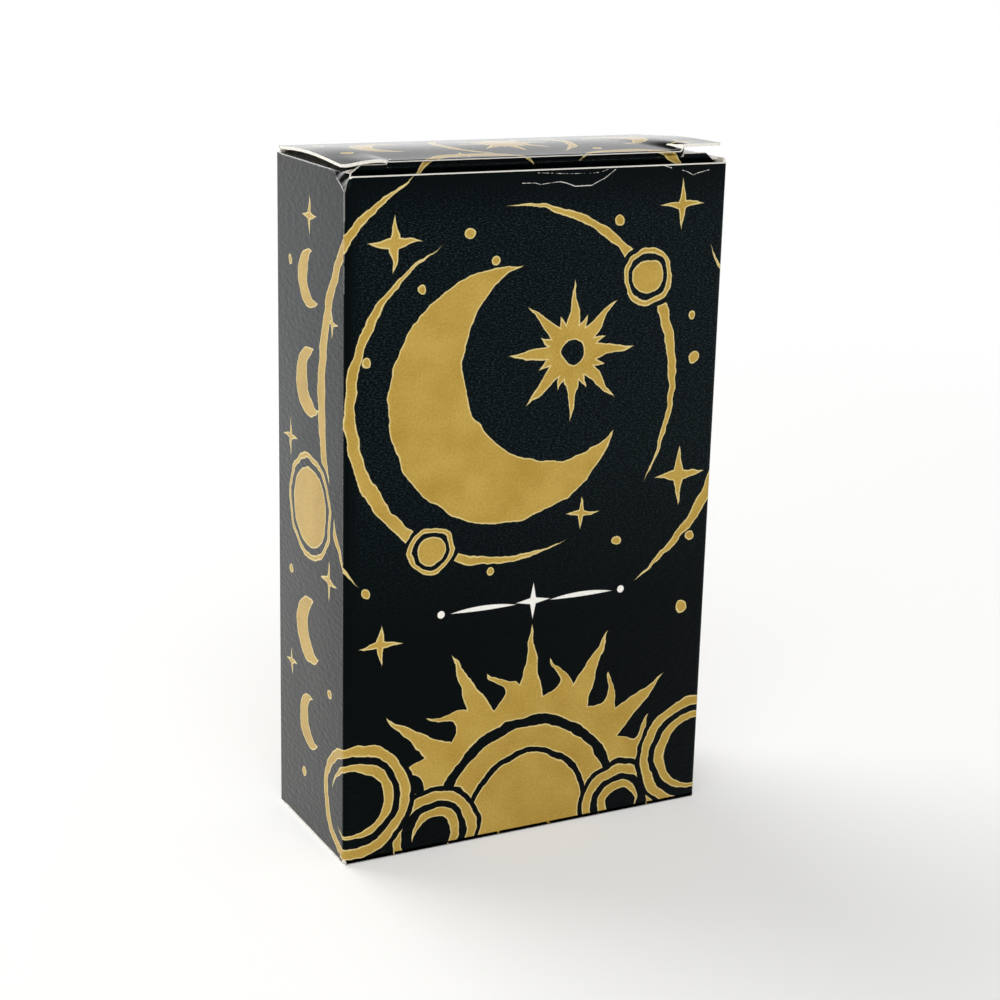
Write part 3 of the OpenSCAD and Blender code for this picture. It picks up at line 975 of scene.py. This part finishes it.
def tuck_board(end, finish, field):
    """A tuck flap with sloped shoulders beside its crease and round corners at its free edge."""
    half = tuck_high.x
    piece = flat_board(CLOSERS[end] + "_tuck_board", (-half, -TUCK_L), (half, -TUCK_ROOT), 0.8 * CELL)
    free_edge = ((0, -TUCK_L), (0, -1))
    lines = []
    for side in (-1, 1):
        flank = ((side * half, 0), (side, 0))
        shoulder = ((side * (half - SHOULDER_RUN), -TUCK_ROOT), (side * SHOULDER_DROP, SHOULDER_RUN))
        lines += [shoulder, *rounded(free_edge, flank, TUCK_CORNER)]
    cut(piece, lines)
    notch(piece, (-SLIT_X, -CREASE), (SLIT_X, 0))
    thicken(piece, finish)
    mark_sheet(piece, lambda x, y, z: (x, TUCK_MM - y))
    up = (0, -math.sin(TUCK_LEAN), math.cos(TUCK_LEAN))
    stand(piece, end, (1, 0, 0), up, (0, TUCK_Y, HEIGHT), field)
    hand_over(piece, CLOSERS[end] + "_tuck", CLOSERS[end] + "_tuck_flap")


def crease_strip(name, low, high, angle, finish, unfold, radius):
    """A strip of board folded along its middle, seen flat along its first half."""
    piece = flat_board(name, (low, -CREASE), (high, CREASE), CREASE / 4)
    with editing(piece):
        choose(piece, "FACE", lambda at: at.y > 0)
        bpy.ops.transform.rotate(value=angle, orient_axis="X", center_override=(0, 0, 0))
    thicken(piece, finish)
    round_fold(piece, lambda at: abs(at.y) < TINY and abs(at.z) < TINY, radius)
    slant = math.tan(angle / 2)
    mark_sheet(piece, lambda x, y, z: unfold(x, y - slant * z))
    return piece


def bend_between(piece, end, corner, across, up, turn_to, field):
    """Sets a crease strip on its line and bends it by its field."""
    stand(piece, end, across, up, corner, field)
    corner, up, turn_to = Vector(corner), Vector(up), Vector(turn_to)
    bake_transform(piece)


def hinge_crease(end, finish, way, field):
    """The crease of the lid on the back panel, or of the bottom on the front, whose print runs its way."""
    piece = crease_strip(
        CLOSERS[end] + "_crease", -lid_high.x, -back_low.x, math.radians(90), finish,
        lambda x, v: (-x, way * v), CLOSER_FOLD_R)
    bend_between(
        piece, end, (0, HALF_D, HEIGHT), (-1, 0, 0), (0, 0, 1), (0, -1, 0), field)


def tuck_crease(end, finish, field):
    """The crease between the lid and its tuck flap, from slit to slit."""
    closer = CLOSERS[end]
    piece = crease_strip(
        closer + "_tuck_crease", -SLIT_X, SLIT_X, math.radians(90) + TUCK_LEAN, finish,
        lambda x, v: (-x, TUCK_MM + v), CLOSER_FOLD_R)
    down = (0, math.sin(TUCK_LEAN), -math.cos(TUCK_LEAN))
    bend_between(
        piece, end, (0, TUCK_Y, HEIGHT), (-1, 0, 0), (0, -1, 0), down, field)


def dust_flap(end, side, crease_z, spring, field):
    """A dust flap with slanted edges and round corners at its free edge, and its crease on a side panel."""
    name = f"{end}_{'left' if side < 0 else 'right'}_dust"
    corner = (side * HALF_W, 0, crease_z)
    inwards = (-side * math.cos(spring), 0, math.sin(spring))
    hinge_side, lock_side = -side * dust_high.y, -side * dust_low.y
    low, high = sorted((hinge_side, lock_side))
    board = flat_board(name + "_board", (CREASE, low), (DUST_L, high))
    tip = ((DUST_L, 0), (1, 0))
    hinge_edge = ((CREASE, hinge_side), (math.sin(DUST_TAPER), -side * math.cos(DUST_TAPER)))
    lock_edge = ((CREASE, lock_side), (math.sin(DUST_LOCK_TAPER), side * math.cos(DUST_LOCK_TAPER)))
    corners = [line for edge in (hinge_edge, lock_edge) for line in rounded(tip, edge, DUST_CORNER)]
    cut(board, [hinge_edge, lock_edge, *corners])
    thicken(board, dust_finish)
    mark_sheet(board, lambda x, y, z: (y, x))
    stand(board, end, inwards, (0, -side, 0), corner, field)
    hand_over(board, name, name + "_flap")
    crease = crease_strip(
        name + "_crease", -high, -low, math.radians(90) - spring, dust_finish,
        lambda x, v: (x, v), DUST_FOLD_R)
    bend_between(crease, end, corner, (0, side, 0), (0, 0, 1), inwards, field)


def carton():
    front_board()
    back_board()
    side_board(-1, left_finish)
    side_board(1, right_finish)
    closing_board("top", lid_finish, lift_of_lid)
    closing_board("bottom", bottom_finish, no_shift)
    hinge_crease("top", lid_finish, 1, lift_of_lid)
    hinge_crease("bottom", front_finish, -1, no_shift)
    for end, finish, field, tuck_field, crease_z, spring, dust_field in (
        ("top", lid_finish, lift_of_lid, lift_of_tuck, SIDE_TOP, DUST_SPRING, spring_of_dust),
        ("bottom", bottom_finish, no_shift, no_shift, HEIGHT - FOOT, 0.0, no_shift),
    ):
        tuck_board(end, finish, tuck_field)
        tuck_crease(end, finish, field)
        for side in (-1, 1):
            dust_flap(end, side, crease_z, spring, dust_field)


def deck():
    """The cards and the glue flap keep their solids and get their finishes."""
    card_words = ("arcana", "wands", "cups", "swords", "pentacles")
    finishes = {name: cards_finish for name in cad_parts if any(word in name for word in card_words)}
    finishes["glue_flap"] = bare
    for name, finish in finishes.items():
        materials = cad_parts[name].data.materials
        materials.clear()
        materials.append(finish)


# Stage, light and camera

def seen_share(tree):
    """One for the rays that show the surroundings: to the camera, in gloss and through glass."""
    path = add(tree, "ShaderNodeLightPath")
    seen = path.outputs["Is Camera Ray"]
    for ray in ("Is Glossy Ray", "Is Transmission Ray"):
        seen = add(tree, MATH, [seen, path.outputs[ray]], operation="MAXIMUM")
    return seen


def pale_floor():
    """A matt white sweep that keeps the shadow near the carton and is seen as white further off."""
    made, tree = material("white_sweep")
    coords = add(tree, "ShaderNodeTexCoord").outputs["Object"]
    reach = add(tree, VECTOR, [coords], operation="LENGTH")
    # A third white within 0.1 m, where the shadow lies, and all white from 0.5 m on
    whiteness = add(tree, RANGE, [reach, 0.1, 0.5, 0.35, 1.0])
    share = add(tree, MATH, [seen_share(tree), whiteness], operation="MULTIPLY")
    matt = add(tree, "ShaderNodeBsdfDiffuse", {"Color": "#F3F2EF"})
    white = add(tree, "ShaderNodeEmission", {"Color": "#FFFFFF", "Strength": 1.0})
    mixed = add(tree, "ShaderNodeMixShader", [share, matt, white])
    add(tree, "ShaderNodeOutputMaterial", {"Surface": mixed})
    bpy.ops.object.select_all(action="DESELECT")
    bpy.ops.mesh.primitive_plane_add(size=8, location=(0, 0, 0))
    floor = bpy.context.object
    floor.name = "floor"
    floor.data.materials.append(made)


def white_room():
    """Even light from all around, seen as a white wall under a dim ceiling."""
    world = bpy.data.worlds.new("white_room")
    bpy.context.scene.world = world
    world.use_nodes = True
    tree = world.node_tree
    tree.nodes.clear()
    height = add(tree, SPLIT, [add(tree, "ShaderNodeTexCoord").outputs["Generated"]]).outputs["Z"]
    # White up to 9 degrees above the floor, and dim from 24 degrees on
    wall = add(tree, RANGE, [height, 0.16, 0.4, 1.0, 0.05])
    soft = add(tree, "ShaderNodeBackground", {"Color": "#FFFFFF", "Strength": 0.35})
    white = add(tree, "ShaderNodeBackground", {"Color": "#FFFFFF", "Strength": wall})
    mixed = add(tree, "ShaderNodeMixShader", [seen_share(tree), soft, white])
    add(tree, "ShaderNodeOutputWorld", {"Surface": mixed})


# Name, place, width, height, power in watts and target of each soft light
LIGHTS = [
    ("key_light", (-0.4, -0.95, 0.7), 1.35, 1.35, 11, (0, 0, HEIGHT / 2)),
    ("window_light", (-0.45, 0.95, 0.65), 1.1, 1.1, 17, (-0.15, 0.3, 0)),
    ("strip_light", (0.52, 1.0, 0.15), 0.8, 0.18, 0.1, (0, 0, HEIGHT)),
]
# The photograph's view, fitted to the carton's corners: azimuth, elevation and roll in degrees, and place
CAMERA_TURNS = (-27.41, 16.09, 1.40)
CAMERA_PLACE = (-0.16712, -0.32401, 0.16548)
LENS_MM = 73.51
SENSOR_MM = 36


def soft_box(name, place, width, height, power, target):
    """A soft light aimed at a target."""
    lamp = bpy.data.lights.new(name, "AREA")
    lamp.shape = "RECTANGLE"
    lamp.size = width
    lamp.size_y = height
    lamp.energy = power
    holder = bpy.data.objects.new(name, lamp)
    bpy.context.scene.collection.objects.link(holder)
    holder.location = place
    aim = Vector(target) - Vector(place)
    holder.rotation_euler = aim.to_track_quat("-Z", "Y").to_euler()


def camera():
    azimuth, elevation, roll = (math.radians(angle) for angle in CAMERA_TURNS)
    upright = Matrix.Rotation(azimuth, 4, "Z") @ Matrix.Rotation(math.pi / 2 - elevation, 4, "X")
    lens = bpy.data.cameras.new("camera")
    lens.sensor_width = SENSOR_MM
    lens.lens = LENS_MM
    lens.clip_start = 0.01
    holder = bpy.data.objects.new("camera", lens)
    bpy.context.scene.collection.objects.link(holder)
    holder.matrix_world = Matrix.Translation(CAMERA_PLACE) @ upright @ Matrix.Rotation(roll, 4, "Z")
    bpy.context.scene.camera = holder


carton()
deck()
pale_floor()
white_room()
for light in LIGHTS:
    soft_box(*light)
camera()
bpy.context.scene.view_settings.view_transform = "Standard"
